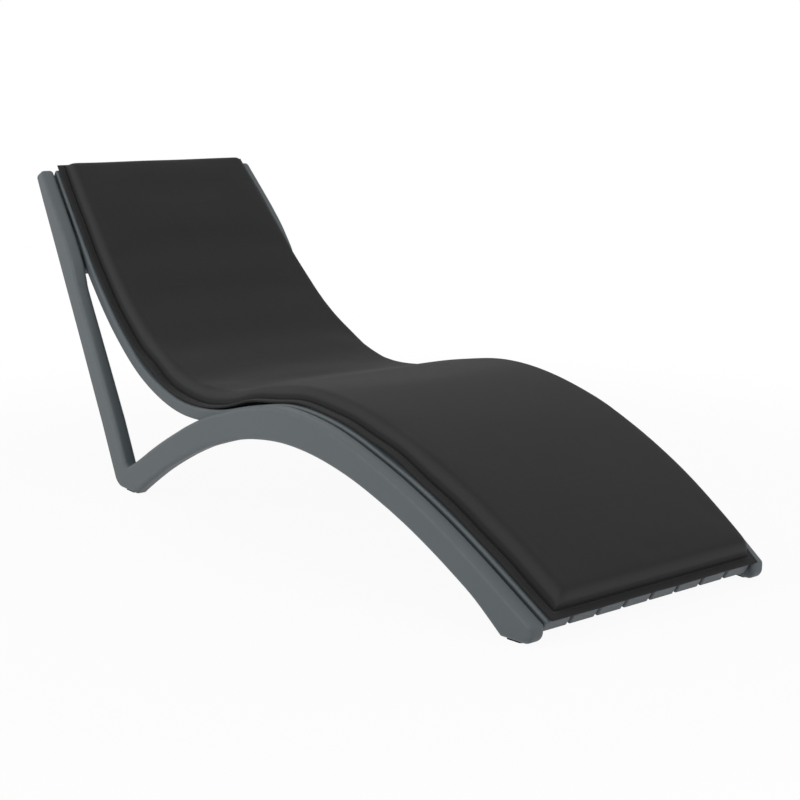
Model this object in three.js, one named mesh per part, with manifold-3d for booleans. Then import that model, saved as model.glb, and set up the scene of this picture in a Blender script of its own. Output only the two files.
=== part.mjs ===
// Sun lounger with a loose cushion. Two V-shaped side frames, each a rear leg grown together with a long
// low arch, carry eight lengthwise slats that all follow one S-shaped seat line. Cross bearers under the
// slats tie the two sides together. Seen from above, both sides bow outwards and the slats and the cushion
// widen with them. +X points to the foot end, +Z up, and the origin is on the ground under the middle of
// the lounger. All sizes are in millimetres.

import * as THREE from 'three';
import { mergeVertices } from 'three/addons/utils/BufferGeometryUtils.js';
import Module from 'manifold-3d';

const wasm = await Module();
wasm.setup();

// Overall sizes
const frameLength = 1800;
const frameHeight = 711;
// Over both sides where they don't bow, and how far each swells at its widest
const frameWidth = 600;
const sideBow = 31;
const restGap = 0.3;
// Two places on the seat line nearer than this are one
const mergeGap = 2;

// Side frames
const sideThickness = 33;
const sideEdge = 8;
const archRise = 226.5;
const toeHeight = 37;
const legDepth = 75;
const heelRadius = 38;
const toeRadius = 20;
const crotchRadius = 12;
// No flat of a side frame is longer than this, so that it can bow
const bendLength = 70;

// Slats
const slatCount = 8;
const slatThickness = 27;
const slatGap = 5;
const slatSideGap = 5;
const slatEdge = 4;

// Cross bearers
const bearerBreadth = 40;
const bearerDepth = 24;

// Brackets and screws
const bracketLeg = 30;
const bracketHeight = 14;
const bracketThickness = 3;
const screwRadius = 2.5;
const screwLength = 16;
const screwHeadRadius = 4.5;
const screwHeadHeight = 2.6;
const screwPlay = 0.1;

// Foot glides
const glideHeight = 1.5;
const glideBreadth = 22;
const rearGlideLength = 40;
const frontGlideLength = 34;
const glideRound = 5;

// Cushion
const cushionSideOverhang = 4;
const cushionShift = 11;
const cushionThickness = 40;
const headOverhang = 10;
const footOverhang = 4;
const flangeWidth = 18;
// At the head end most of the flange is turned down
const headFlangeWidth = 8;
const flangeThickness = 6;
const creaseDepth = 2;
const creaseWidth = 6;
const rollWidth = 24;

// Counts of straight steps along curves
const seatSteps = 30;
const curveSteps = 3;
const roundSteps = 4;
const screwSides = 8;

// The seat line is the top of the slats seen from the side, from the head to the foot end. Each point is
// a share of the frame's length, measured from its rear end, and a share of its rise above the toe.
const seatShares = [
  [0.0232, 1], [0.0854, 0.8201], [0.1451, 0.6455], [0.2088, 0.4886], [0.2795, 0.3642],
  [0.36, 0.2963], [0.4436, 0.2998], [0.5257, 0.3491], [0.6089, 0.3862], [0.6918, 0.3692],
  [0.7719, 0.3104], [0.8485, 0.2296], [0.9209, 0.1287], [0.9987, 0],
];
// Upper edge of the arch behind the seat, from the seat line down to the crotch at the leg
const archTopShares = [
  [0.504, 0.3299], [0.4591, 0.2932], [0.4152, 0.2444], [0.3865, 0.2072],
  [0.3566, 0.1668], [0.3257, 0.1216], [0.2925, 0.0702], [0.2608, 0.0259],
];
// Underside of the arch, from the rear foot to the front one, as shares of the length and of archRise
const archUnderShares = [
  [0.2849, 0], [0.2948, 0.052], [0.327, 0.211], [0.3577, 0.353], [0.3873, 0.477], [0.4161, 0.588],
  [0.4439, 0.685], [0.4709, 0.766], [0.528, 0.903], [0.5738, 0.969], [0.618, 0.996], [0.663, 0.982],
  [0.7058, 0.934], [0.7467, 0.859], [0.786, 0.76], [0.8235, 0.647], [0.8593, 0.517], [0.8936, 0.373],
  [0.9264, 0.216], [0.9605, 0],
];
// The leg's top corner on the seat line's scales, and its heel along the frame
const legTopShare = [-0.0005, 0.9785];
const heelShare = 0.2333;
// Where the arch meets the seat line, along the frame, and where the leg does, up its rear edge
const archJoinShare = 0.5261;
const legJoinShare = 0.87;
// Rear and front edges of the leg: a share of the way from heel to top, and a share of legDepth forwards
const legRearShares = [
  [0.92, 0.047], [0.767, 0.145], [0.616, 0.189], [0.47, 0.204], [0.326, 0.182], [0.184, 0.138],
];
const legFrontShares = [
  [0.164, 1.042], [0.297, 1.06], [0.43, 1.055], [0.568, 1.032], [0.601, 1.085], [0.649, 1.159],
  [0.694, 1.138], [0.742, 1.097],
];
// Widest place of the bowed sides along the frame, and how far from it the bow is nought
const bowShare = 0.4616;
const bowRearShare = 0.4361;
const bowFrontShare = 0.5425;
// How flat the bow is in the middle, rearwards and footwards
const bowRearPower = 3;
const bowFrontPower = 3.8;
// Shares of the seat line's own length
const bearerShares = [0.062, 0.130, 0.455, 0.610, 0.770, 0.930];
// Which way each bearer's brackets face, 1 to the foot end: where the side frame is deep enough for them
const bracketFacing = [1, -1, 1, -1, -1, -1];
// Cushion crown: how the height grows over the width of the edge roll
const rollShares = [0.10, 0.24, 0.42, 0.64, 1];
const rollPower = 2.3;
// The pad is thicker over the hollow of the back and thinner over the hump at the knees. Each point is a
// share of the pad's length, from its head end, and of cushionThickness.
const thicknessShares = [
  [0, 0.88], [0.12, 0.98], [0.24, 1.12], [0.32, 1.17], [0.42, 1.01], [0.52, 0.83],
  [0.62, 0.78], [0.72, 0.85], [0.82, 0.97], [0.92, 1.04], [1, 1.04],
];

// Radius of the corners at the nose and the leg's top, as a share of the softened edge they meet
const cornerShare = 1.3;

const innerWidth = frameWidth - 2 * sideThickness;
const slatField = innerWidth - 2 * slatSideGap;
const slatPitch = (slatField + slatGap) / slatCount;
const slatWidth = slatPitch - slatGap;
const soleHeight = glideHeight + restGap;
const cornerRadius = cornerShare * sideEdge;
const cushionWidth = slatField + 2 * cushionSideOverhang;

const seatPoint = ([along, up]) => new THREE.Vector2(
  along * frameLength, THREE.MathUtils.lerp(toeHeight, frameHeight, up));
const seatLine = new THREE.SplineCurve(seatShares.map(seatPoint));
seatLine.arcLengthDivisions = 600;
const seatLength = seatLine.getLength();
// Every piece that follows the seat line bends at these same stations, so that they all nest
const seatStations = Array.from({ length: seatSteps + 1 }, (_, i) => {
  const along = seatLine.getTangentAt(i / seatSteps);
  return { point: seatLine.getPointAt(i / seatSteps), square: new THREE.Vector2(-along.y, along.x) };
});

// Place on the seat line, `distance` from its head end, moved `lift` square to it. Past either end the
// line runs on straight.
function seatAt(distance, lift = 0) {
  const steps = distance / seatLength * seatSteps;
  const index = THREE.MathUtils.clamp(Math.floor(steps), 0, seatSteps - 1);
  const [start, end] = [seatStations[index], seatStations[index + 1]].map(
    ({ point, square }) => point.clone().addScaledVector(square, lift));
  return start.lerp(end, steps - index);
}

// Direction of the seat line at a distance, towards the foot end
function seatDirection(distance) {
  const halfStep = seatLength / seatSteps / 2;
  return seatAt(distance + halfStep).sub(seatAt(distance - halfStep)).normalize();
}

// Distance from the head end at which the seat line first reaches a value of x or y
function seatDistanceAt(axis, value) {
  const reached = seatStations.findIndex(({ point }, i) => {
    const next = seatStations[i + 1].point;
    return (point[axis] - value) * (next[axis] - value) <= 0;
  });
  const from = seatStations[reached].point[axis];
  const to = seatStations[reached + 1].point[axis];
  return (reached + (value - from) / (to - from)) / seatSteps * seatLength;
}

// The stretch of the seat line between two distances, with every station that it passes
function seatRun(from, to, lift) {
  const low = Math.min(from, to);
  const high = Math.max(from, to);
  const distances = [low];
  seatStations.forEach((_, i) => {
    const station = i / seatSteps * seatLength;
    if (station > low + mergeGap && station < high - mergeGap) {
      distances.push(station);
    }
  });
  distances.push(high);
  const points = distances.map((distance) => seatAt(distance, lift));
  return from < to ? points : points.reverse();
}

// Smooth line through the given points
function smoothRun(points, stepsEach) {
  return new THREE.SplineCurve(points).getPoints((points.length - 1) * stepsEach);
}

// The corner between two straight edges, replaced by an arc
function roundCorner(before, corner, after, radius) {
  const back = before.clone().sub(corner).normalize();
  const onward = after.clone().sub(corner).normalize();
  const half = Math.acos(back.dot(onward)) / 2;
  const middle = back.clone().add(onward).setLength(radius / Math.sin(half));
  const centre = corner.clone().add(middle);
  const reach = radius / Math.tan(half);
  const start = corner.clone().addScaledVector(back, reach).sub(centre);
  const end = corner.clone().addScaledVector(onward, reach).sub(centre);
  const turn = Math.PI - 2 * half;
  const points = [];
  for (let i = 0; i <= roundSteps; i++) {
    const angle = turn * i / roundSteps;
    const point = start.clone().multiplyScalar(Math.sin(turn - angle) / Math.sin(turn));
    points.push(point.addScaledVector(end, Math.sin(angle) / Math.sin(turn)).add(centre));
  }
  return points;
}

// A flat outline in the side view, extruded across the lounger with its edges softened by `edge` and
// centred on `middle`
function acrossSolid(outline, width, middle, edge, edgeSteps) {
  const depth = width - 2 * edge;
  const geometry = new THREE.ExtrudeGeometry(new THREE.Shape(outline), {
    depth,
    steps: 1,
    bevelEnabled: edge > 0,
    bevelThickness: edge,
    bevelSize: edge,
    bevelOffset: -edge,
    bevelSegments: edgeSteps,
  });
  geometry.rotateX(Math.PI / 2);
  geometry.translate(0, middle + depth / 2, 0);
  return geometry;
}

function toSolid(geometry) {
  const bare = geometry.index ? geometry.toNonIndexed() : geometry.clone();
  bare.deleteAttribute('normal');
  bare.deleteAttribute('uv');
  const merged = mergeVertices(bare);
  return new wasm.Manifold(new wasm.Mesh({
    numProp: 3,
    vertProperties: new Float32Array(merged.attributes.position.array),
    triVerts: new Uint32Array(merged.index.array),
  }));
}

function toGeometry(solid) {
  const mesh = solid.getMesh();
  const geometry = new THREE.BufferGeometry();
  geometry.setAttribute('position', new THREE.BufferAttribute(mesh.vertProperties, 3));
  geometry.setIndex(new THREE.BufferAttribute(mesh.triVerts, 1));
  return geometry;
}

function drilled(geometry, holes) {
  return holes.reduce((solid, hole) => solid.subtract(toSolid(hole)), toSolid(geometry));
}

function finish(color, roughness, metalness = 0) {
  return new THREE.MeshStandardMaterial({ color, roughness, metalness, side: THREE.FrontSide });
}

const lounger = new THREE.Group();
const model = new THREE.Group();
model.position.x = -frameLength / 2;
lounger.add(model);

function bowAt(x) {
  const centre = bowShare * frameLength;
  const reach = (x < centre ? bowRearShare : bowFrontShare) * frameLength;
  const power = x < centre ? bowRearPower : bowFrontPower;
  return sideBow * (1 - (Math.abs(x - centre) / reach) ** power);
}

// Every piece is made straight, then bent in plan: what lies between the sides widens with them, and
// what lies in a side moves with it
function addPiece(name, geometry, material) {
  const places = geometry.attributes.position;
  for (let i = 0; i < places.count; i++) {
    const y = places.getY(i);
    const share = THREE.MathUtils.clamp(y / (innerWidth / 2), -1, 1);
    places.setY(i, y + share * bowAt(places.getX(i)));
  }
  const mesh = new THREE.Mesh(geometry, material);
  mesh.name = name;
  model.add(mesh);
}

// Side view of one side frame: rear foot, arch underside, toe, seat line, arch top, leg
function sideOutline() {
  const headSeat = seatAt(0);
  const legTop = seatPoint(legTopShare);
  const heel = new THREE.Vector2(heelShare * frameLength, soleHeight);
  const toe = new THREE.Vector2(frameLength, soleHeight);
  const seatEnd = seatAt(seatLength);
  const seatSlope = seatDirection(seatLength);
  const nose = seatEnd.clone().addScaledVector(seatSlope, (frameLength - seatEnd.x) / seatSlope.x);

  const legRise = legTop.clone().sub(heel);
  const legSquare = new THREE.Vector2(legRise.y, -legRise.x).normalize();
  const onLeg = ([up, deep]) => heel.clone()
    .addScaledVector(legRise, up).addScaledVector(legSquare, deep * legDepth);
  const legRear = legRearShares.map(onLeg);
  const legJoinDistance = seatDistanceAt('y', heel.y + legJoinShare * legRise.y);
  const legCurve = smoothRun([...legFrontShares.map(onLeg), seatAt(legJoinDistance)], 2);

  const joinDistance = seatDistanceAt('x', archJoinShare * frameLength);
  const archJoin = seatAt(joinDistance);
  const archRear = smoothRun([...archTopShares.map(seatPoint).reverse(), archJoin], 2);
  const crotch = archRear[0];
  const archTop = archRear.slice(1, -1).reverse();
  const under = archUnderShares.map(([along, up]) => new THREE.Vector2(
    along * frameLength, soleHeight + up * archRise));
  const overArch = seatRun(seatLength, joinDistance, 0).slice(1);
  const seatBack = seatRun(legJoinDistance, 0, 0).slice(1, -1);
  return [
    ...roundCorner(legRear.at(-1), heel, under[0], heelRadius),
    ...under,
    ...roundCorner(under.at(-1), toe, nose, toeRadius),
    ...roundCorner(toe, nose, overArch[0], cornerRadius),
    ...overArch,
    ...archTop,
    ...roundCorner(archTop.at(-1), crotch, legCurve[0], crotchRadius),
    ...legCurve,
    ...seatBack,
    ...roundCorner(seatBack.at(-1), headSeat, legTop, cornerRadius),
    ...roundCorner(headSeat, legTop, legRear[0], cornerRadius),
    ...legRear,
  ];
}

// A pan-head screw along +Z, its head above z = 0 and its shank below
function screwGeometry() {
  const head = screwHeadHeight;
  const profile = [
    [0, -screwLength], [screwRadius, -screwLength], [screwRadius, restGap], [screwHeadRadius, restGap],
    [screwHeadRadius, restGap + head / 2], [screwHeadRadius / 2, restGap + head], [0, restGap + head],
  ];
  const lathe = new THREE.LatheGeometry(profile.map(([r, h]) => new THREE.Vector2(r, h)), screwSides);
  return lathe.rotateX(Math.PI / 2);
}

function screwHole(matrix) {
  const length = screwLength + screwPlay + screwHeadHeight;
  const hole = new THREE.CylinderGeometry(
    screwRadius + screwPlay, screwRadius + screwPlay, length, screwSides);
  hole.rotateX(Math.PI / 2);
  hole.translate(0, 0, -screwLength - screwPlay + length / 2);
  return hole.applyMatrix4(matrix);
}

// Where a screw sits: its head's seat at `place`, pointing out along `out`
function screwMatrix(place, out) {
  const turn = new THREE.Quaternion().setFromUnitVectors(new THREE.Vector3(0, 0, 1), out);
  return new THREE.Matrix4().compose(place, turn, new THREE.Vector3(1, 1, 1));
}

const inSpace = (flat, across) => new THREE.Vector3(flat.x, across, flat.y);

// Bearers, with an angle bracket at each end. Each bracket has one leg on the bearer and one on the side
// frame, and a screw through each.
function bearerWithBrackets(share, index) {
  const centre = share * seatLength;
  const half = bearerBreadth / 2;
  const top = -slatThickness - restGap;
  const outline = [
    ...seatRun(centre - half, centre + half, top - bearerDepth),
    ...seatRun(centre + half, centre - half, top),
  ];
  const bearer = acrossSolid(outline, innerWidth - 2 * restGap, 0, 0, 0);
  const facing = bracketFacing[index];
  const screwLift = top - bracketHeight / 2 - restGap;
  const corner = seatAt(centre + facing * (half + restGap), screwLift);
  const run = seatDirection(centre + facing * half).multiplyScalar(facing);
  const ends = [-1, 1].map((end) => {
    const section = [
      [0, 0], [bracketLeg, 0], [bracketLeg, bracketThickness], [bracketThickness, bracketThickness],
      [bracketThickness, bracketLeg], [0, bracketLeg],
    ];
    const shape = new THREE.Shape(section.map(([x, y]) => new THREE.Vector2(x, y)));
    const plate = new THREE.ExtrudeGeometry(shape, { depth: bracketHeight, bevelEnabled: false });
    plate.translate(0, 0, -bracketHeight / 2);
    const wall = end * (innerWidth / 2 - restGap);
    const alongRun = inSpace(run, 0);
    const inward = new THREE.Vector3(0, -end, 0);
    const upward = new THREE.Vector3().crossVectors(alongRun, inward);
    const place = inSpace(corner, wall);
    plate.applyMatrix4(new THREE.Matrix4().makeBasis(alongRun, inward, upward).setPosition(place));
    const reach = (bracketLeg + bracketThickness) / 2;
    const wallScrew = place.clone().addScaledVector(alongRun, reach);
    wallScrew.addScaledVector(inward, bracketThickness);
    const bearerScrew = place.clone().addScaledVector(inward, reach);
    bearerScrew.addScaledVector(alongRun, bracketThickness);
    return {
      plate,
      wallScrew: screwMatrix(wallScrew, inward),
      bearerScrew: screwMatrix(bearerScrew, alongRun),
    };
  });
  return { bearer, ends };
}

const bearers = bearerShares.map(bearerWithBrackets);

// Side frames
const sideFinish = [0x5c6467, 0.55];
['right', 'left'].forEach((side, index) => {
  const end = index === 0 ? -1 : 1;
  const middle = end * (frameWidth - sideThickness) / 2;
  const holes = bearers.map((bearer) => screwHole(bearer.ends[index].wallScrew));
  const blank = acrossSolid(sideOutline(), sideThickness, middle, sideEdge, 2);
  const member = toGeometry(drilled(blank, holes).refineToLength(bendLength));
  addPiece(`${side}_side_frame`, member, finish(...sideFinish));
});

// Slats
for (let i = 0; i < slatCount; i++) {
  const middle = (i - (slatCount - 1) / 2) * slatPitch;
  const outline = [
    ...seatRun(0, seatLength, -slatThickness),
    ...seatRun(seatLength, 0, 0),
  ];
  addPiece(`slat_${i + 1}`, acrossSolid(outline, slatWidth, middle, slatEdge, 1), finish(...sideFinish));
}

// Bearers, brackets and screws
bearers.forEach(({ bearer, ends }, index) => {
  const holes = ends.map(({ bearerScrew }) => screwHole(bearerScrew));
  addPiece(`bearer_${index + 1}`, toGeometry(drilled(bearer, holes)), finish(...sideFinish));
  ends.forEach(({ plate, wallScrew, bearerScrew }, at) => {
    const tag = `${index + 1}_${at === 0 ? 'right' : 'left'}`;
    const bracket = toGeometry(drilled(plate, [screwHole(wallScrew), screwHole(bearerScrew)]));
    addPiece(`bracket_${tag}`, bracket, finish(0x6d7174, 0.4, 1));
    const wallPiece = screwGeometry().applyMatrix4(wallScrew);
    addPiece(`frame_screw_${tag}`, wallPiece, finish(0x8a8d90, 0.3, 1));
    const bearerPiece = screwGeometry().applyMatrix4(bearerScrew);
    addPiece(`bearer_screw_${tag}`, bearerPiece, finish(0x8a8d90, 0.3, 1));
  });
});

// Foot glides
function glideGeometry(length) {
  const x = length / 2 - glideRound;
  const y = glideBreadth / 2 - glideRound;
  const shape = new THREE.Shape();
  shape.absarc(x, y, glideRound, 0, Math.PI / 2);
  shape.absarc(-x, y, glideRound, Math.PI / 2, Math.PI);
  shape.absarc(-x, -y, glideRound, Math.PI, 3 * Math.PI / 2);
  shape.absarc(x, -y, glideRound, 3 * Math.PI / 2, 2 * Math.PI);
  const pad = { depth: glideHeight, bevelEnabled: false, curveSegments: curveSteps };
  return new THREE.ExtrudeGeometry(shape, pad);
}

// Each glide lies in the middle of its foot's flat sole
const soleXs = sideOutline().filter(({ y }) => y < soleHeight + restGap).map(({ x }) => x);
const rearSole = soleXs.filter((x) => x < frameLength / 2);
const frontSole = soleXs.filter((x) => x > frameLength / 2);
const rearGlideX = (Math.min(...rearSole) + Math.max(...rearSole)) / 2;
const frontGlideX = (Math.min(...frontSole) + Math.max(...frontSole)) / 2;
[[-1, 'right'], [1, 'left']].forEach(([end, side]) => {
  const y = end * (frameWidth - sideThickness) / 2;
  const rear = glideGeometry(rearGlideLength).translate(rearGlideX, y, 0);
  addPiece(`rear_glide_${side}`, rear, finish(0x1c1d1e, 0.8));
  const front = glideGeometry(frontGlideLength).translate(frontGlideX, y, 0);
  addPiece(`front_glide_${side}`, front, finish(0x1c1d1e, 0.8));
});

// The cushion is a slim pad with a flat sewn flange all round. Inside the flange the cover dips into a
// crease and swells over a soft roll to the crown.
function edgeStations(length, firstFlange) {
  const [near, far] = [firstFlange, flangeWidth].map((flange) => [
    0, flange - creaseWidth, flange, ...rollShares.map((share) => flange + share * rollWidth),
  ]);
  return [...near, ...far.map((distance) => length - distance)].sort((a, b) => a - b);
}

// Rows of the pad: its edge rolls and every station of the seat line under it
function padRows(length) {
  const stations = seatStations.map((_, i) => i / seatSteps * seatLength + headOverhang);
  const rolls = edgeStations(length, headFlangeWidth).filter(
    (row) => !stations.some((station) => Math.abs(station - row) < mergeGap));
  return [...stations, ...rolls].sort((a, b) => a - b);
}

function swell(distance) {
  const inside = THREE.MathUtils.clamp((distance - flangeWidth) / rollWidth, 0, 1);
  return (1 - (1 - inside) ** rollPower) ** (1 / rollPower);
}

// Thickness of the pad under the crown at a share of its length
function padThickness(along) {
  const next = Math.max(thicknessShares.findIndex(([place]) => place >= along), 1);
  const [[start, low], [end, high]] = [thicknessShares[next - 1], thicknessShares[next]];
  return cushionThickness * THREE.MathUtils.mapLinear(along, start, end, low, high);
}

function padHeight(alongEdge, acrossEdge, thickness) {
  const crown = thickness - flangeThickness + creaseDepth;
  const nearest = Math.min(alongEdge, acrossEdge);
  const creased = nearest > flangeWidth - creaseWidth / 2;
  const base = creased ? flangeThickness - creaseDepth : flangeThickness;
  return base + crown * swell(alongEdge) * swell(acrossEdge);
}

function cushionGeometry() {
  const length = seatLength + headOverhang + footOverhang;
  const rows = padRows(length);
  const columns = edgeStations(cushionWidth, flangeWidth);
  const positions = [];
  const put = (distance, lift, across) => {
    const point = seatAt(distance - headOverhang, restGap + lift);
    positions.push(point.x, across - cushionWidth / 2 + cushionShift, point.y);
    return positions.length / 3 - 1;
  };
  const top = rows.map((row) => columns.map((column) => {
    const alongEdge = Math.min(row + flangeWidth - headFlangeWidth, length - row);
    const acrossEdge = Math.min(column, cushionWidth - column);
    return put(row, padHeight(alongEdge, acrossEdge, padThickness(row / length)), column);
  }));
  const under = rows.map((row) => [put(row, 0, 0), put(row, 0, cushionWidth)]);
  const faces = [];
  const last = columns.length - 1;
  for (let i = 0; i + 1 < rows.length; i++) {
    for (let j = 0; j < last; j++) {
      faces.push(top[i][j], top[i + 1][j], top[i + 1][j + 1], top[i][j], top[i + 1][j + 1], top[i][j + 1]);
    }
    faces.push(under[i][0], under[i][1], under[i + 1][1], under[i][0], under[i + 1][1], under[i + 1][0]);
    faces.push(under[i][0], under[i + 1][0], top[i + 1][0], under[i][0], top[i + 1][0], top[i][0]);
    faces.push(under[i][1], top[i][last], top[i + 1][last], under[i][1], top[i + 1][last], under[i + 1][1]);
  }
  const endWall = (row, bottom, flip) => {
    const ring = [bottom[0], ...row, bottom[1]];
    for (let j = 1; j + 1 < ring.length; j++) {
      faces.push(ring[0], ring[flip ? j + 1 : j], ring[flip ? j : j + 1]);
    }
  };
  endWall(top[0], under[0], false);
  endWall(top.at(-1), under.at(-1), true);
  const geometry = new THREE.BufferGeometry();
  geometry.setAttribute('position', new THREE.Float32BufferAttribute(positions, 3));
  geometry.setIndex(faces);
  geometry.computeVertexNormals();
  return geometry;
}

addPiece('cushion', cushionGeometry(), finish(0x2f2f30, 0.9));

export default lounger;
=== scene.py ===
import math

import bmesh
import bpy
import numpy as np
from mathutils import Euler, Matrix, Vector


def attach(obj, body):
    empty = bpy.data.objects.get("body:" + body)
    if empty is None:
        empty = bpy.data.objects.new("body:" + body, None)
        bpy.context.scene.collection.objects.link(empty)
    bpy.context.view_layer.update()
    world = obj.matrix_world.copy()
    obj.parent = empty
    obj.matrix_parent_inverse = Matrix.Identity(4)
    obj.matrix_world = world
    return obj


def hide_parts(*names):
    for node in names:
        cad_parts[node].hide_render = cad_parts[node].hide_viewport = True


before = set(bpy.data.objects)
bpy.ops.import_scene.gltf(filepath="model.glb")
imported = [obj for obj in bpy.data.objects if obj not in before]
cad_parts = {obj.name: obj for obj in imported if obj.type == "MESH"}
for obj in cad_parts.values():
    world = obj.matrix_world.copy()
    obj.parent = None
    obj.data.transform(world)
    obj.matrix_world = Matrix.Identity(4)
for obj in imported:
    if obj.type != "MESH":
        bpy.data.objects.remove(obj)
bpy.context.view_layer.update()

# Sun lounger: two V-shaped side frames, eight long slats on one S-shaped seat line, six bearers
# under them, and a slim padded mat with a sewn flange. Metres, +X to the foot end, +Z up.

print("stage: packed frame loaded,", len(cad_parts), "solids")

lounger = {
    "length": 1.800,        # frame, rear end of the back to the toe
    "height": 0.711,        # top of the back
    "width": 0.600,         # over both side frames where they don't bow
    "bow": 0.031,           # how far each side swells outwards at its widest place
    "bowPlace": 0.4616,     # that place, as a share of the length from the rear end
    "bowReach": (0.4361, 0.5425),   # from there to where the bow is nought, rearwards and footwards
    "bowPower": (3, 3.8),   # and how flat it is in the middle
    "toeHeight": 0.037,     # seat line above the ground at the foot end
    "restGap": 0.0003,      # air left between pieces that rest on each other
    "sole": 0.0018,         # underside of the feet above the ground
}

# The seat line, head to foot: share of the length from the rear end, share of the rise above the toe
seatShares = np.array([
    (0.0232, 1), (0.0854, 0.8201), (0.1451, 0.6455), (0.2088, 0.4886), (0.2795, 0.3642),
    (0.36, 0.2963), (0.4436, 0.2998), (0.5257, 0.3491), (0.6089, 0.3862), (0.6918, 0.3692),
    (0.7719, 0.3104), (0.8485, 0.2296), (0.9209, 0.1287), (0.9987, 0),
])


# Uniform Catmull-Rom line through the points: each span is a cubic whose end slopes are half the
# step between its neighbours, and the end points count as their own neighbours.
def smoothLine(points, stepsEach):
    points = np.asarray(points, float)
    spans = len(points) - 1
    steps = np.linspace(0, spans, spans * stepsEach + 1)
    first = np.minimum(steps.astype(int), spans - 1)
    t = (steps - first)[:, None]
    before = points[np.maximum(first - 1, 0)]
    start = points[first]
    end = points[first + 1]
    after = points[np.minimum(first + 2, spans)]
    slopeIn = (end - before) / 2
    slopeOut = (after - start) / 2
    return ((2 * start - 2 * end + slopeIn + slopeOut) * t ** 3
            + (3 * end - 3 * start - 2 * slopeIn - slopeOut) * t ** 2 + slopeIn * t + start)


# A share of length and rise as a point in the side view, x from the middle of the lounger
def placeOf(shares):
    shares = np.asarray(shares, float)
    x = shares[:, 0] * lounger["length"] - lounger["length"] / 2
    z = lounger["toeHeight"] + shares[:, 1] * (lounger["height"] - lounger["toeHeight"])
    return np.stack([x, z], 1)


seatDense = smoothLine(placeOf(seatShares), 120)
seatRun = np.concatenate([[0], np.cumsum(np.linalg.norm(np.diff(seatDense, axis=0), axis=1))])
seatLength = seatRun[-1]
seatSlope = np.gradient(seatDense, seatRun, axis=0)
seatSlope /= np.linalg.norm(seatSlope, axis=1)[:, None]


# Points at distances down the seat line from its head end, moved `lift` square to it. Past either end
# the line runs on straight. Gives the points and the directions towards the foot.
def seatAt(distance, lift=0.0):
    distance = np.atleast_1d(np.asarray(distance, float))
    inside = np.clip(distance, 0, seatLength)
    point = np.stack([np.interp(inside, seatRun, seatDense[:, k]) for k in (0, 1)], -1)
    slope = np.stack([np.interp(inside, seatRun, seatSlope[:, k]) for k in (0, 1)], -1)
    slope /= np.linalg.norm(slope, axis=-1, keepdims=True)
    square = np.stack([-slope[..., 1], slope[..., 0]], -1)
    lift = np.broadcast_to(lift, distance.shape)
    return point + (distance - inside)[..., None] * slope + lift[..., None] * square, slope


# Distance down the seat line at which it first reaches a value of x (axis 0) or z (axis 1)
def seatDistanceAt(axis, value):
    side = seatDense[:, axis] - value
    at = np.nonzero(side[:-1] * side[1:] <= 0)[0][0]
    share = side[at] / (side[at] - side[at + 1])
    return seatRun[at] + share * (seatRun[at + 1] - seatRun[at])


# An arc of the given radius in place of the corner between two straight edges
def roundCorner(before, corner, after, radius, steps=12):
    back = (before - corner) / np.linalg.norm(before - corner)
    onward = (after - corner) / np.linalg.norm(after - corner)
    half = math.acos(float(back @ onward)) / 2
    middle = back + onward
    centre = corner + middle / np.linalg.norm(middle) * radius / math.sin(half)
    start = corner + back * radius / math.tan(half) - centre
    end = corner + onward * radius / math.tan(half) - centre
    turn = math.pi - 2 * half
    angle = turn * np.linspace(0, 1, steps + 1)[:, None]
    return start * np.sin(turn - angle) / math.sin(turn) + end * np.sin(angle) / math.sin(turn) + centre


# The plan of the lounger is bowed: at x each side lies bow * (1 - d^power) further out, where d is the
# distance from the bow's place as a share of its reach. Between the sides the shift grows evenly.
def bowed(points, x=None):
    x = points[:, 0] if x is None else x
    centre = (lounger["bowPlace"] - 0.5) * lounger["length"]
    reach = np.where(x < centre, *lounger["bowReach"]) * lounger["length"]
    power = np.where(x < centre, *lounger["bowPower"])
    bow = lounger["bow"] * (1 - (np.abs(x - centre) / reach) ** power)
    bent = points.copy()
    bent[:, 1] += np.clip(points[:, 1] / (innerWidth / 2), -1, 1) * bow
    return bent


# Signed volume of a closed mesh: below nought its faces point inwards, and they are all turned round
def facedOut(points, faces):
    total = 0.0
    for block in faces:
        for k in range(1, block.shape[1] - 1):
            a, b, c = points[block[:, 0]], points[block[:, k]], points[block[:, k + 1]]
            total += float(np.einsum("ij,ij->", a, np.cross(b, c)))
    return [block[:, ::-1] for block in faces] if total < 0 else faces


# The flats that face along Y are cut across every `step` of X, so that they can follow the bow
def cutAcross(mesh, step):
    cage = bmesh.new()
    cage.from_mesh(mesh)
    half = lounger["length"] / 2
    for x in np.arange(step / 2 - half, half, step):
        flats = [face for face in cage.faces if abs(face.normal.y) > 0.99]
        parts = {part for face in flats for part in (*face.verts, *face.edges)}
        bmesh.ops.bisect_plane(cage, geom=[*flats, *parts], plane_co=(x, 0, 0), plane_no=(1, 0, 0))
    cage.to_mesh(mesh)
    cage.free()


# All the points of a mesh as one array
def pointsOf(mesh):
    points = np.empty(len(mesh.vertices) * 3, np.float32)
    mesh.vertices.foreach_get("co", points)
    return points.reshape(-1, 3)


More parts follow.
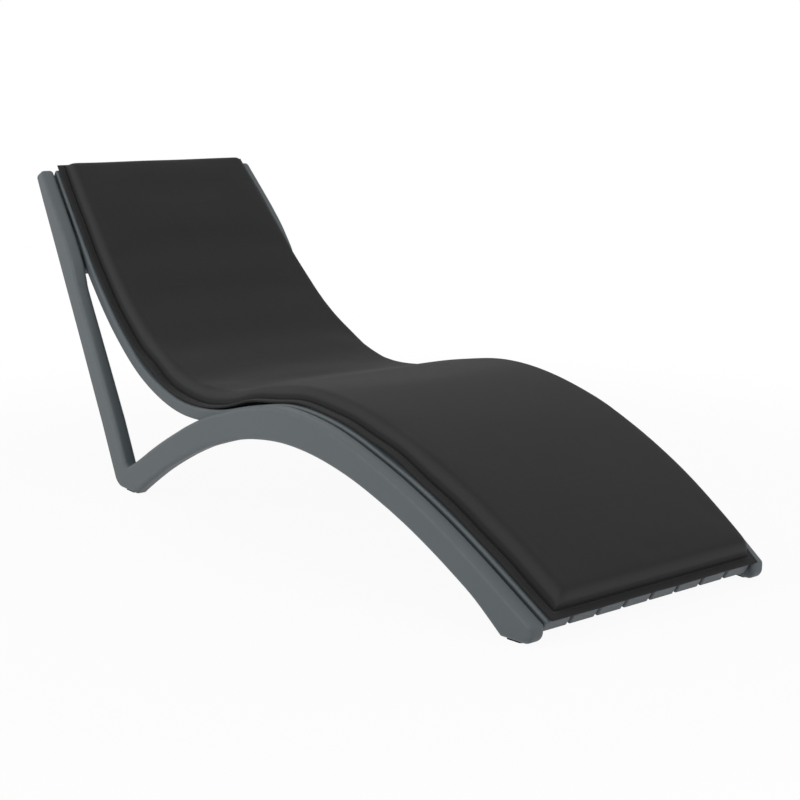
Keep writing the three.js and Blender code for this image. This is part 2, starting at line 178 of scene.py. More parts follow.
# A mesh object from a point array and blocks of faces, each block with its own number of corners. It is
# built straight and then bowed. The last blocks listed in `flat` are shaded flat.
def addPiece(name, body, material, points, faces, stands=(), flat=0, uv=None, marks=None, cut=0):
    faces = facedOut(points, faces)
    mesh = bpy.data.meshes.new(name)
    mesh.vertices.add(len(points))
    mesh.vertices.foreach_set("co", np.asarray(points, np.float32).ravel())
    corners = np.concatenate([block.ravel() for block in faces])
    sizes = np.concatenate([np.full(len(block), block.shape[1]) for block in faces])
    mesh.loops.add(len(corners))
    mesh.loops.foreach_set("vertex_index", corners.astype(np.int32))
    mesh.polygons.add(len(sizes))
    starts = np.concatenate([[0], np.cumsum(sizes)[:-1]])
    mesh.polygons.foreach_set("loop_start", starts.astype(np.int32))
    mesh.polygons.foreach_set("loop_total", sizes.astype(np.int32))
    smooth = np.ones(len(sizes), bool)
    if flat:
        smooth[len(sizes) - sum(len(block) for block in faces[-flat:]):] = False
    mesh.polygons.foreach_set("use_smooth", smooth)
    mesh.update(calc_edges=True)
    mesh.validate()
    if uv is not None:
        layer = mesh.uv_layers.new(name="run")
        layer.data.foreach_set("uv", np.asarray(uv, np.float32)[corners].ravel())
    for key, values in (marks or {}).items():
        layer = mesh.attributes.new(key, "FLOAT", "POINT")
        layer.data.foreach_set("value", np.broadcast_to(np.asarray(values, np.float32), len(points)).copy())
    if cut:
        cutAcross(mesh, cut)
    mesh.vertices.foreach_set("co", bowed(pointsOf(mesh)).ravel())
    mesh.update()
    piece = bpy.data.objects.new(name, mesh)
    bpy.context.scene.collection.objects.link(piece)
    mesh.materials.append(material)
    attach(piece, body)
    if stands:
        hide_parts(*stands)
    return piece


# Quads between neighbouring rings of a grid of points, closed round the ring
def ringQuads(rings, count, closed=True):
    i = np.arange(rings - 1)[:, None] * count
    j = np.arange(count if closed else count - 1)[None, :]
    k = (j + 1) % count
    return np.stack([i + j, i + k, i + count + k, i + count + j], -1).reshape(-1, 4)


# How far each point of a closed outline moves for one unit of inset, mitred at its corners
def insetVectors(outline):
    edge = np.roll(outline, -1, 0) - outline
    edge /= np.linalg.norm(edge, axis=1)[:, None]
    area = np.sum(outline[:, 0] * np.roll(outline[:, 1], -1) - np.roll(outline[:, 0], -1) * outline[:, 1])
    square = np.stack([-edge[:, 1], edge[:, 0]], 1) * np.sign(area)
    before = np.roll(square, 1, 0)
    return (square + before) / (1 + np.sum(square * before, 1))[:, None]


# A slab with softened edges: the outline, inset by e(1 - sin a) and e(1 - cos a) deep from each face
# as a runs from 0 to 90 degrees, and a flat face closed over a narrow rim.
def softSlab(outline, low, high, edge, steps=6):
    inward = insetVectors(outline)
    angle = np.linspace(0, math.pi / 2, steps + 1)
    inset = np.concatenate([[edge * 1.07], edge * (1 - np.sin(angle))])
    depth = np.concatenate([[0], edge * (1 - np.cos(angle))])
    inset = np.concatenate([inset, inset[::-1]])
    place = np.concatenate([low + depth, high - depth[::-1]])
    flat = outline[None] + inset[:, None, None] * inward[None]
    rings, count = len(inset), len(outline)
    points = np.stack([flat[..., 0], np.broadcast_to(place[:, None], flat.shape[:2]), flat[..., 1]], -1)
    caps = np.stack([np.arange(count)[::-1], np.arange(count) + (rings - 1) * count])
    worn = np.broadcast_to((np.sin(np.pi * np.clip(inset / edge, 0, 1)))[:, None], (rings, count))
    return points.reshape(-1, 3), [ringQuads(rings, count), caps], {"edge": worn.ravel()}


# Rounded rectangle, anticlockwise, and how far into a corner each point is, 0 to 1
def roundedBox(width, height, radius, steps=5):
    angle = np.linspace(0, math.pi / 2, steps + 1)
    parts = []
    for quarter, (sx, sy) in enumerate([(1, 1), (-1, 1), (-1, -1), (1, -1)]):
        turn = angle + quarter * math.pi / 2
        centre = np.array([sx * (width / 2 - radius), sy * (height / 2 - radius)])
        parts.append(centre + radius * np.stack([np.cos(turn), np.sin(turn)], 1))
    return np.vstack(parts), np.tile(np.sin(2 * angle), 4)


sideFrame = {
    "thickness": 0.033,
    "edge": 0.009,            # rounding of the long edges
    "archRise": 0.2265,
    "legDepth": 0.075,
    "heelRadius": 0.038,
    "toeRadius": 0.020,
    "crotchRadius": 0.012,
    "cornerRadius": 0.0104,
    "legTop": (-0.0005, 0.9785),
    "heelShare": 0.2333,
    "archJoinShare": 0.5261,  # where the arch meets the seat line, along the frame
    "legJoinShare": 0.87,     # and the leg, up its rear edge
    "archTop": [(0.504, 0.3299), (0.4591, 0.2932), (0.4152, 0.2444), (0.3865, 0.2072),
                (0.3566, 0.1668), (0.3257, 0.1216), (0.2925, 0.0702), (0.2608, 0.0259)],
    "archUnder": [(0.2849, 0), (0.2948, 0.052), (0.327, 0.211), (0.3577, 0.353), (0.3873, 0.477),
                  (0.4161, 0.588), (0.4439, 0.685), (0.4709, 0.766), (0.528, 0.903), (0.5738, 0.969),
                  (0.618, 0.996), (0.663, 0.982), (0.7058, 0.934), (0.7467, 0.859), (0.786, 0.76),
                  (0.8235, 0.647), (0.8593, 0.517), (0.8936, 0.373), (0.9264, 0.216), (0.9605, 0)],
    "legRear": [(0.92, 0.047), (0.767, 0.145), (0.616, 0.189), (0.47, 0.204), (0.326, 0.182), (0.184, 0.138)],
    "legFront": [(0.164, 1.042), (0.297, 1.06), (0.43, 1.055), (0.568, 1.032), (0.601, 1.085),
                 (0.649, 1.159), (0.694, 1.138), (0.742, 1.097)],
}
innerWidth = lounger["width"] - 2 * sideFrame["thickness"]


# Side view of one side frame: heel, arch underside, toe, seat line, arch top, crotch, leg
def sideOutline(spec):
    length = lounger["length"]
    headSeat = seatAt(0)[0][0]
    legTop = placeOf([spec["legTop"]])[0]
    heel = np.array([(spec["heelShare"] - 0.5) * length, lounger["sole"]])
    toe = np.array([length / 2, lounger["sole"]])
    seatEnd, slope = (row[0] for row in seatAt(seatLength))
    nose = seatEnd + slope * (length / 2 - seatEnd[0]) / slope[0]

    rise = legTop - heel
    square = np.array([rise[1], -rise[0]]) / np.linalg.norm(rise)

    def onLeg(shares):
        return np.array([heel + up * rise + deep * spec["legDepth"] * square for up, deep in shares])
    legRear = smoothLine(onLeg(spec["legRear"]), 6)
    legJoin = seatDistanceAt(1, heel[1] + spec["legJoinShare"] * rise[1])
    legCurve = smoothLine(np.vstack([onLeg(spec["legFront"]), seatAt(legJoin)[0]]), 8)

    archJoin = seatDistanceAt(0, (spec["archJoinShare"] - 0.5) * length)
    archRear = smoothLine(np.vstack([placeOf(spec["archTop"])[::-1], seatAt(archJoin)[0]]), 12)
    seatFront = seatAt(np.linspace(seatLength, archJoin, 90))[0]
    shares = np.array(spec["archUnder"])
    under = smoothLine(np.stack([(shares[:, 0] - 0.5) * length,
                                 lounger["sole"] + shares[:, 1] * spec["archRise"]], 1), 5)
    seatBack = seatAt(np.linspace(legJoin, spec["cornerRadius"] * 1.3, 24))[0]
    return np.vstack([
        roundCorner(legRear[-1], heel, under[0], spec["heelRadius"], 16),
        under,
        roundCorner(under[-1], toe, nose, spec["toeRadius"]),
        roundCorner(toe, nose, seatFront[1], spec["cornerRadius"]),
        seatFront[1:],
        archRear[::-1][1:-4],
        roundCorner(archRear[4], archRear[0], legCurve[0], spec["crotchRadius"]),
        legCurve[:-1],
        seatBack,
        roundCorner(seatBack[-1], headSeat, legTop, spec["cornerRadius"]),
        roundCorner(headSeat, legTop, legRear[0], spec["cornerRadius"]),
        legRear,
    ])


slat = {
    "count": 8,
    "thickness": 0.027,
    "gap": 0.005,
    "sideGap": 0.005,
    "edge": 0.0042,           # rounding of its edges
    "stations": 150,
    "tones": (0.3, -0.5, 0.1, 0.6, -0.2, 0.4, -0.6, 0.0),   # boards painted a little lighter or darker
}
slatField = innerWidth - 2 * slat["sideGap"]
slatPitch = (slatField + slat["gap"]) / slat["count"]
slatWidth = slatPitch - slat["gap"]


# A bar swept down the seat line: its section is (across, lift), and at both ends it is inset by
# e(1 - sin a) while the last e(1 - cos a) of its length is walked.
def seatBar(section, middle, start, end, edge, stations, steps=4):
    angle = np.linspace(0, math.pi / 2, steps + 1)
    inset = np.concatenate([[edge * 1.1], edge * (1 - np.sin(angle))])
    depth = np.concatenate([[0], edge * (1 - np.cos(angle))])
    between = np.linspace(start + edge, end - edge, stations)[1:-1]
    distance = np.concatenate([start + depth, between, end - depth[::-1]])
    inset = np.concatenate([inset, np.zeros(len(between)), inset[::-1]])
    ring = section[None] + inset[:, None, None] * insetVectors(section)[None]
    spread = np.broadcast_to(distance[:, None], ring.shape[:2])
    flat, _ = seatAt(spread, ring[..., 1])
    points = np.stack([flat[..., 0], middle + ring[..., 0], flat[..., 1]], -1)
    count = len(section)
    around = np.concatenate([[0], np.cumsum(np.linalg.norm(np.diff(section, axis=0), axis=1))])
    uv = np.stack([np.broadcast_to(around[None], spread.shape), spread], -1)
    last = (len(distance) - 1) * count
    caps = np.stack([np.arange(count)[::-1], np.arange(count) + last])
    return points.reshape(-1, 3), [ringQuads(len(distance), count), caps], uv.reshape(-1, 2)


# A node in a tree: its settings, then what each input takes, a value or another node's output
def addNode(tree, kind, inputs=None, **settings):
    made = tree.nodes.new("ShaderNode" + kind)
    for key, value in settings.items():
        setattr(made, key, value)
    for socket, source in (inputs or {}).items():
        if isinstance(source, bpy.types.NodeSocket):
            tree.links.new(source, made.inputs[socket])
        else:
            made.inputs[socket].default_value = source
    return made


def newGroup(name, inputs, outputs):
    tree = bpy.data.node_groups.new(name, "ShaderNodeTree")
    for label, kind, value in inputs:
        socket = tree.interface.new_socket(label, in_out="INPUT", socket_type="NodeSocket" + kind)
        socket.default_value = value
    for label, kind in outputs:
        tree.interface.new_socket(label, in_out="OUTPUT", socket_type="NodeSocket" + kind)
    return tree, tree.nodes.new("NodeGroupInput").outputs, tree.nodes.new("NodeGroupOutput").inputs


def maths(tree, operation, first, second=0.0, third=0.0, clamp=False):
    return addNode(tree, "Math", {0: first, 1: second, 2: third},
                   operation=operation, use_clamp=clamp).outputs[0]


# Value noise on the object's own metres
def noiseOf(tree, scale, detail=2.0, roughness=0.5, source=None):
    source = source or addNode(tree, "TexCoord").outputs["Object"]
    return addNode(tree, "TexNoise", {"Vector": source, "Scale": scale, "Detail": detail,
                                      "Roughness": roughness}).outputs["Fac"]


# Weathering: cloudy lighter and darker patches of Size per metre over a colour, and a roughness that
# rises where it is lighter
def weatherGroup():
    tree, take, give = newGroup("weather", [
        ("Color", "Color", (0.5, 0.5, 0.5, 1)), ("Amount", "Float", 0.1), ("Size", "Float", 4.0),
        ("Roughness", "Float", 0.5), ("Tone", "Float", 0.0),
    ], [("Color", "Color"), ("Roughness", "Float")])
    cloud = maths(tree, "ADD", noiseOf(tree, take["Size"], 4.0, 0.6), -0.5)
    shift = maths(tree, "ADD", maths(tree, "MULTIPLY", cloud, take["Amount"]),
                  maths(tree, "MULTIPLY", take["Tone"], 0.05))
    gain = maths(tree, "ADD", maths(tree, "MULTIPLY", shift, 2.0), 1.0)
    lit = addNode(tree, "VectorMath", {0: take["Color"], "Scale": gain}, operation="SCALE")
    tree.links.new(lit.outputs[0], give["Color"])
    rough = maths(tree, "ADD", take["Roughness"], maths(tree, "MULTIPLY", shift, 0.5), clamp=True)
    tree.links.new(rough, give["Roughness"])
    return tree


# Edge wear: where the piece's edge mark is high and a mottled noise agrees, a second colour shows
def wearGroup():
    tree, take, give = newGroup("edgeWear", [
        ("Color", "Color", (0.5, 0.5, 0.5, 1)), ("Worn", "Color", (0.6, 0.6, 0.6, 1)),
        ("Wear", "Float", 0.3), ("Size", "Float", 60.0),
    ], [("Color", "Color")])
    mark = addNode(tree, "Attribute", attribute_name="edge").outputs["Fac"]
    mottle = noiseOf(tree, take["Size"], 5.0, 0.65)
    sharp = addNode(tree, "MapRange", {"Value": mottle, "From Min": 0.42, "From Max": 0.62}).outputs[0]
    mask = maths(tree, "MULTIPLY", maths(tree, "POWER", mark, 2.0), sharp)
    mask = maths(tree, "MULTIPLY", mask, take["Wear"], clamp=True)
    mix = addNode(tree, "Mix", {"Factor": mask, "A": take["Color"], "B": take["Worn"]}, data_type="RGBA")
    tree.links.new(mix.outputs["Result"], give["Color"])
    return tree


# Plain weave on the run map, in metres: threads are half waves |cos(pi u / pitch)| and |cos(pi v / pitch)|,
# one over the other by turns, and single threads differ in tone
def weaveGroup():
    tree, take, give = newGroup("plainWeave", [
        ("Color", "Color", (0.05, 0.05, 0.05, 1)), ("Thread", "Color", (0.07, 0.07, 0.07, 1)),
        ("Pitch", "Float", 0.0012), ("Fleck", "Float", 0.5),
    ], [("Color", "Color"), ("Height", "Float")])
    place = addNode(tree, "UVMap", uv_map="run").outputs["UV"]
    split = addNode(tree, "SeparateXYZ", {0: place})
    waves, counts = [], []
    for axis in ("X", "Y"):
        turns = maths(tree, "DIVIDE", split.outputs[axis], take["Pitch"])
        waves.append(maths(tree, "ABSOLUTE", maths(tree, "COSINE", maths(tree, "MULTIPLY", turns, math.pi))))
        counts.append(maths(tree, "FLOOR", maths(tree, "ADD", turns, 0.5)))
    over = maths(tree, "PINGPONG", maths(tree, "ADD", *counts), 1.0)
    height = addNode(tree, "Mix", {"Factor": over, "A": waves[0], "B": waves[1]}, data_type="FLOAT")
    tree.links.new(height.outputs["Result"], give["Height"])
    thread = addNode(tree, "Mix", {"Factor": over, "A": counts[0], "B": counts[1]}, data_type="FLOAT")
    tone = addNode(tree, "TexWhiteNoise", {"W": thread.outputs["Result"]}, noise_dimensions="1D").outputs[0]
    flecks = noiseOf(tree, 420.0, 1.0, source=place)
    tone = maths(tree, "MULTIPLY", maths(tree, "ADD", tone, maths(tree, "MULTIPLY", flecks, 2.0)), 0.33)
    mix = addNode(tree, "Mix", {"Factor": maths(tree, "MULTIPLY", tone, take["Fleck"], clamp=True),
                                "A": take["Color"], "B": take["Thread"]}, data_type="RGBA")
    tree.links.new(mix.outputs["Result"], give["Color"])
    return tree


weather, edgeWear, plainWeave = weatherGroup(), wearGroup(), weaveGroup()


# A material with its Principled BSDF, and the sockets that are even all over set on the shader itself
def newMaterial(name, **even):
    material = bpy.data.materials.new(name)
    material.use_nodes = True
    tree = material.node_tree
    shader = tree.nodes["Principled BSDF"]
    for label, value in even.items():
        shader.inputs[label.replace("_", " ")].default_value = value
    return material, tree, shader.inputs


def fillGroup(tree, group, inputs):
    return addNode(tree, "Group", inputs, node_tree=group).outputs


def addBump(tree, shader, height, distance, strength=1.0):
    bump = addNode(tree, "Bump", {"Height": height, "Distance": distance, "Strength": strength})
    tree.links.new(bump.outputs["Normal"], shader["Normal"])


paint = {
    "color": (0.108, 0.126, 0.136, 1),
    "worn": (0.19, 0.21, 0.22, 1),      # on the rounded edges
    "wear": 0.15,
    "cloud": 0.10,            # how much the coat's tone wanders
    "roughness": 0.52,
    "stipple": 0.00012,       # height of the brushed-on coat's grain
}


# Matt opaque paint: weathered colour, worn lighter on the rounded edges, over a fine stipple with a few
# soft brush marks along the piece
def paintMaterial():
    material, tree, shader = newMaterial("greyPaint", Specular_IOR_Level=0.4)
    tone = addNode(tree, "Attribute", attribute_name="tone").outputs["Fac"]
    cloudy = fillGroup(tree, weather, {"Color": paint["color"], "Amount": paint["cloud"], "Size": 3.5,
                                       "Roughness": paint["roughness"], "Tone": tone})
    worn = fillGroup(tree, edgeWear, {"Color": cloudy["Color"], "Worn": paint["worn"],
                                      "Wear": paint["wear"], "Size": 55.0})
    tree.links.new(worn["Color"], shader["Base Color"])
    tree.links.new(cloudy["Roughness"], shader["Roughness"])
    place = addNode(tree, "TexCoord").outputs["Object"]
    mapped = addNode(tree, "Mapping", {"Vector": place, "Scale": (0.06, 1.0, 0.35)}).outputs[0]
    brush = noiseOf(tree, 260.0, 3.0, 0.6, mapped)
    height = maths(tree, "ADD", maths(tree, "MULTIPLY", brush, 0.6), noiseOf(tree, 900.0, 2.0, 0.5, place))
    addBump(tree, shader, height, paint["stipple"], 0.6)
    return material


def metalMaterial(name, color, roughness, size):
    material, tree, shader = newMaterial(name, Metallic=1.0)
    cloudy = fillGroup(tree, weather, {"Color": color, "Amount": 0.35, "Size": size, "Roughness": roughness})
    worn = fillGroup(tree, edgeWear, {"Color": cloudy["Color"], "Worn": (0.75, 0.75, 0.76, 1),
                                      "Wear": 0.6, "Size": 300.0})
    tree.links.new(worn["Color"], shader["Base Color"])
    tree.links.new(cloudy["Roughness"], shader["Roughness"])
    addBump(tree, shader, noiseOf(tree, 1400.0, 3.0), 0.00004)
    return material


def rubberMaterial():
    material, tree, shader = newMaterial("glideRubber", Specular_IOR_Level=0.3)
    cloudy = fillGroup(tree, weather, {"Color": (0.013, 0.013, 0.014, 1), "Amount": 0.5, "Size": 90.0,
                                       "Roughness": 0.72})
    worn = fillGroup(tree, edgeWear, {"Color": cloudy["Color"], "Worn": (0.06, 0.06, 0.06, 1),
                                      "Wear": 0.5, "Size": 220.0})
    tree.links.new(worn["Color"], shader["Base Color"])
    tree.links.new(cloudy["Roughness"], shader["Roughness"])
    addBump(tree, shader, noiseOf(tree, 2200.0, 2.0), 0.00008)
    return material


greyPaint = paintMaterial()
zincPlate = metalMaterial("zincPlate", (0.42, 0.43, 0.44, 1), 0.42, 55.0)
screwSteel = metalMaterial("screwSteel", (0.56, 0.57, 0.58, 1), 0.3, 120.0)
glideRubber = rubberMaterial()
print("stage: materials")

outline = sideOutline(sideFrame)
for side, end in (("right", -1), ("left", 1)):
    outer = end * lounger["width"] / 2
    inner = outer - end * sideFrame["thickness"]
    points, faces, marks = softSlab(outline, min(outer, inner), max(outer, inner), sideFrame["edge"])
    addPiece(f"{side}_frame_member", "frame", greyPaint, points, faces,
             [f"{side}_side_frame"], marks=marks, cut=0.04)
print("stage: side frames,", len(outline), "points round each outline")

section, rounding = roundedBox(slatWidth, slat["thickness"], slat["edge"])
section = section - [0, slat["thickness"] / 2]
for index in range(slat["count"]):
    middle = (index - (slat["count"] - 1) / 2) * slatPitch
    points, faces, uv = seatBar(section, middle, 0, seatLength, slat["edge"], slat["stations"])
    marks = {"edge": np.tile(rounding, len(points) // len(rounding)), "tone": slat["tones"][index]}
    addPiece(f"seat_slat_{index + 1}", "frame", greyPaint, points, faces,
             [f"slat_{index + 1}"], flat=1, uv=uv, marks=marks)
print("stage: slats")

bearer = {
    "shares": (0.062, 0.130, 0.455, 0.610, 0.770, 0.930),     # places along the seat line
    "facings": (1, -1, 1, -1, -1, -1),      # which way each one's brackets face, 1 to the foot end
    "breadth": 0.040,
    "depth": 0.024,
    "round": 0.003,           # rounding of the long edges
    "edge": 0.0012,           # and of the sawn ends
    "tone": -0.4,             # a little darker than the side frames
}
bracket = {
    "leg": 0.030,
    "height": 0.014,
    "thickness": 0.003,
    "edge": 0.0005,
}
screw = {
    "sides": 24,
    "headRadius": 0.0045,
    "headHeight": 0.0026,
    "socketRadius": 0.0017,   # across the flats of the hexagon socket, halved
    "socketDepth": 0.0015,
    "socketEdge": (0.00015, 0.0001),        # broken edge of the socket, outwards and down
    "shankRadius": 0.0024,
    "length": 0.0158,
}


# A local point (a, b, c) stands for place + a·first + b·second + c·third
def placed(points, place, first, second, third):
    return place + points[:, :1] * first + points[:, 1:2] * second + points[:, 2:] * third


# Pan-head screw turned about its axis: rings of radius and height from the socket's floor outwards. The
# socket's rings are hexagons, r / cos(angle within its sixth).
def screwMesh():
    count = screw["sides"]
    turn = np.arange(count) * 2 * math.pi / count
    hexagon = screw["socketRadius"] / np.cos((turn + 1e-9) % (math.pi / 3) - math.pi / 6)
    top, head = screw["headHeight"], screw["headRadius"]
    out, down = screw["socketEdge"]
    rings = [(hexagon, top - screw["socketDepth"]), (hexagon, top - down), (hexagon + out, top)]
    rings += [(np.full(count, head * r), top * h) for r, h in
              ((0.72, 0.97), (0.88, 0.80), (0.97, 0.52), (1.0, 0.25), (0.99, 0.03), (0.97, 0.0))]
    rings += [(np.full(count, screw["shankRadius"]), h) for h in (0.0, -screw["length"])]
    points = np.concatenate([np.stack([r * np.cos(turn), r * np.sin(turn), np.full(count, h)], 1)
                             for r, h in rings])
    last = (len(rings) - 1) * count
    caps = np.stack([np.arange(count)[::-1], np.arange(count) + last])
    worn = np.concatenate([np.full(count, value) for value in (0, 0.4, 1, 0.5, 0.3, 0.5, 0.8, 0.2, 0, 0, 0)])
    return points, [ringQuads(len(rings), count), caps], {"edge": worn}


bearerSection, bearerRounding = roundedBox(bearer["breadth"], bearer["depth"], bearer["round"])
bearerTop = -slat["thickness"] - lounger["restGap"]
wall = innerWidth / 2 - lounger["restGap"]
leg, thick = bracket["leg"], bracket["thickness"]
cutOff = 1.5 * thick      # of the bracket's inner corner
angleSection = np.array([(0, 0), (leg, 0), (leg, thick), (cutOff, thick),
                         (thick, cutOff), (thick, leg), (0, leg)])
screwPoints, screwFaces, screwMarks = screwMesh()
for index, share in enumerate(bearer["shares"]):
    centre = share * seatLength
    ring = seatAt(centre + bearerSection[:, 0], bearerTop - bearer["depth"] / 2 + bearerSection[:, 1])[0]
    points, faces, marks = softSlab(ring, -wall, wall, bearer["edge"], 3)
    inside = len(points) // len(ring)
    marks = {"edge": np.maximum(marks["edge"], np.tile(bearerRounding, inside)), "tone": bearer["tone"]}
    addPiece(f"cross_bearer_{index + 1}", "frame", greyPaint, points, faces,
             [f"bearer_{index + 1}"], flat=1, marks=marks)
    facing = bearer["facings"][index]
    lift = bearerTop - bracket["height"] / 2 - lounger["restGap"]
    at = centre + facing * (bearer["breadth"] / 2 + lounger["restGap"])
    spot, slope = seatAt(at, lift)
    run = facing * np.array([slope[0, 0], 0, slope[0, 1]])
    for side, end in (("right", -1), ("left", 1)):
        inward = np.array([0.0, -end, 0.0])
        upward = np.cross(run, inward)
        corner = np.array([spot[0, 0], end * wall, spot[0, 1]])
        tag = f"{index + 1}_{side}"
        points, faces, marks = softSlab(angleSection, -bracket["height"] / 2, bracket["height"] / 2,
                                        bracket["edge"], 2)
        points = placed(points, corner, run, upward, inward)
        addPiece(f"angle_bracket_{tag}", "frame", zincPlate, points, faces,
                 [f"bracket_{tag}"], marks=marks)
        reach = (leg + thick) / 2
        for kind, place, out, other in (
                ("frame", corner + reach * run + thick * inward, inward, run),
                ("bearer", corner + reach * inward + thick * run, run, inward)):
            points = placed(screwPoints, place + lounger["restGap"] * out, other, np.cross(out, other), out)
            addPiece(f"{kind}_pan_screw_{tag}", "frame", screwSteel, points, screwFaces,
                     [f"{kind}_screw_{tag}"], flat=1, marks=screwMarks)
print("stage: bearers, brackets and screws")

glide = {
    "height": 0.0015,
    "breadth": 0.022,
    "lengths": {"rear": 0.040, "front": 0.034},
    "round": 0.005,
    "edge": 0.0005,
}
soles = outline[outline[:, 1] < lounger["sole"] + lounger["restGap"], 0]
for part, length in glide["lengths"].items():
    own = soles[soles < 0] if part == "rear" else soles[soles > 0]
    plan, _ = roundedBox(length, glide["breadth"], glide["round"])
    points, faces, marks = softSlab(plan, 0, glide["height"], glide["edge"], 3)
    for side, end in (("right", -1), ("left", 1)):
        middle = np.array([(own.min() + own.max()) / 2,
                           end * (lounger["width"] - sideFrame["thickness"]) / 2, 0])
        addPiece(f"{part}_foot_glide_{side}", "frame", glideRubber,
                 points[:, [0, 2, 1]] + middle, faces, [f"{part}_glide_{side}"], flat=1, marks=marks)
print("stage: foot glides")

cushion = {
    "sideOverhang": 0.004,    # past the slats on each side
    "shift": 0.011,           # to the sitter's left
    "thickness": 0.040,
    "thicknessShares": [(0, 0.88), (0.12, 0.98), (0.24, 1.12), (0.32, 1.17), (0.42, 1.01), (0.52, 0.83),
                        (0.62, 0.78), (0.72, 0.85), (0.82, 0.97), (0.92, 1.04), (1, 1.04)],
    "headOverhang": 0.010,
    "footOverhang": 0.004,
    "flange": 0.018,          # flat sewn edge, out to in
    "headFlange": 0.008,      # and at the head end, where most of it is turned down
    "flangeThickness": 0.006,
    "creaseDepth": 0.0025,
    "creaseWidth": 0.0022,
    "roll": 0.024,            # the top swells up over this width inside the crease
    "rollPower": 2.3,
    "cell": 0.011,            # mesh cells away from the edges
    "ripple": 0.0008,         # unevenness of the flange
    "rippleTurns": (41, 29),  # and its waves along and across, radians to a metre
    # Where the side flanges stand off the slats: x, half width and height
    "bridges": [(-0.400, 0.050, 0.0065), (0.010, 0.075, 0.0065), (0.487, 0.060, 0.0040)],
}
swelling = {
    "free": 0.003,            # the cover moves from this far inside the crease
    "cap": 0.005,             # and by this much at most
    "pressure": 0.12,
    "frames": 14,
    "quality": 6,
    "mass": 0.25,
    "stretch": 12,            # stiffness against stretch, shear and bending
    "shear": 6,
    "bend": 2,
    "ease": 0.001,            # the cover is cut larger by this share
}


# Even rows across the pad, with close ones over its edge, crease and roll at either end. The two numbers
# are the widths of the flange there.
def padStations(length, first, last):
    edge = np.array([0, 0.2, 0.8, 1.8, 3]) / 1000
    seam = np.array([-9, -4.5, -2.5, -1.2, 0, 1.2, 2.5, 4.5, 7, 10, 14, 19, 25, 33, 42]) / 1000
    clear = edge[-1] + 0.001
    near, far = (np.concatenate([edge, (flange + seam)[flange + seam > clear]]) for flange in (first, last))
    count = int(round((length - near[-1] - far[-1]) / cushion["cell"]))
    middle = np.linspace(near[-1], length - far[-1], count + 1)[1:-1]
    return np.concatenate([near, middle, length - far[::-1]])


# Closed pad over the seat line. With d the distance in from the edge, the flange is a half round
# e(1 ± sqrt(1 - (1 - d/e)²)) thick up to d = e and flat from there, the crease is a dip
# exp(-((d - flange) / width)²), and inside it the top swells by (1 - (1 - u)^n)^(1/n) both ways.
def padMesh():
    spec = cushion
    length = seatLength + spec["headOverhang"] + spec["footOverhang"]
    width = slatField + 2 * spec["sideOverhang"]
    flange = spec["flange"]
    along = padStations(length, spec["headFlange"], flange)
    across = padStations(width, flange, flange)
    rows, columns = len(along), len(across)
    fromSide = np.minimum(across, width - across)[None, :]
    edgeGap = np.minimum(np.minimum(along, length - along)[:, None], fromSide)
    # Distance from the ends, as if the head end's flange were as wide as the others
    fromEnd = np.minimum(along + flange - spec["headFlange"], length - along)[:, None]
    inward = np.minimum(fromEnd, fromSide)

    def swell(distance):
        inside = np.clip((distance - flange) / spec["roll"], 0, 1)
        return (1 - (1 - inside) ** spec["rollPower"]) ** (1 / spec["rollPower"])
    half = spec["flangeThickness"] / 2
    rounded = half * np.sqrt(1 - (1 - np.clip(edgeGap / half, 0, 1)) ** 2)
    crease = spec["creaseDepth"] * np.exp(-((inward - flange) / spec["creaseWidth"]) ** 2)
    places, shares = np.array(spec["thicknessShares"]).T
    slices = np.linspace(0, 1, 101)
    reach = 6           # the thickness is averaged over this many slices each way
    window = np.full(2 * reach + 1, 1 / (2 * reach + 1))
    even = np.convolve(np.pad(np.interp(slices, places, shares), reach, "edge"), window, "valid")
    thickness = spec["thickness"] * np.interp(along / length, slices, even)[:, None]
    crown = (thickness - spec["flangeThickness"]) * swell(fromEnd) * swell(fromSide)
    spread = np.broadcast_to(along[:, None] - spec["headOverhang"], inward.shape)
    middle, _ = seatAt(spread[:, 0])
    bridge = sum(lift * np.exp(-((middle[:, 0] - place) / size) ** 2)
                 for place, size, lift in spec["bridges"])[:, None] * (fromSide < fromEnd)
    down, over = spec["rippleTurns"]
    ripple = spec["ripple"] * (1 + np.sin(down * along)[:, None] * np.cos(over * across)[None, :])
    loose = np.clip(1 - (inward - flange) / spec["roll"], 0, 1)
    raised = lounger["restGap"] + (bridge + ripple) * loose
    top = raised + half + rounded - crease + crown
    under = raised + half - rounded
    y = np.broadcast_to(across[None, :] - width / 2 + spec["shift"], inward.shape)

    def sheet(lifted):
        flat, _ = seatAt(spread, lifted)
        return np.stack([flat[..., 0], y, flat[..., 1]], -1).reshape(-1, 3)
    upper = np.arange(rows * columns).reshape(rows, columns)
    lower = upper.copy()
    inner = (slice(1, -1), slice(1, -1))
    lower[inner] = rows * columns + np.arange((rows - 2) * (columns - 2)).reshape(rows - 2, columns - 2)

    def quads(ids):
        return np.stack([ids[:-1, :-1], ids[:-1, 1:], ids[1:, 1:], ids[1:, :-1]], -1).reshape(-1, 4)
    hidden = upper[inner].ravel()
    points = np.concatenate([sheet(top), sheet(under)[hidden]])
    uv = np.stack([y, spread], -1).reshape(-1, 2)
    seam = (inward - flange).ravel()
    run = np.where(fromSide < fromEnd, spread, y).ravel()
    held = np.concatenate([seam < swelling["free"], np.ones(len(hidden), bool)])
    uv, seam, run = (np.concatenate([values, values[hidden]]) for values in (uv, seam, run))
    return points, [quads(upper), quads(lower)[:, ::-1]], uv, {"seam": seam, "seamRun": run}, held


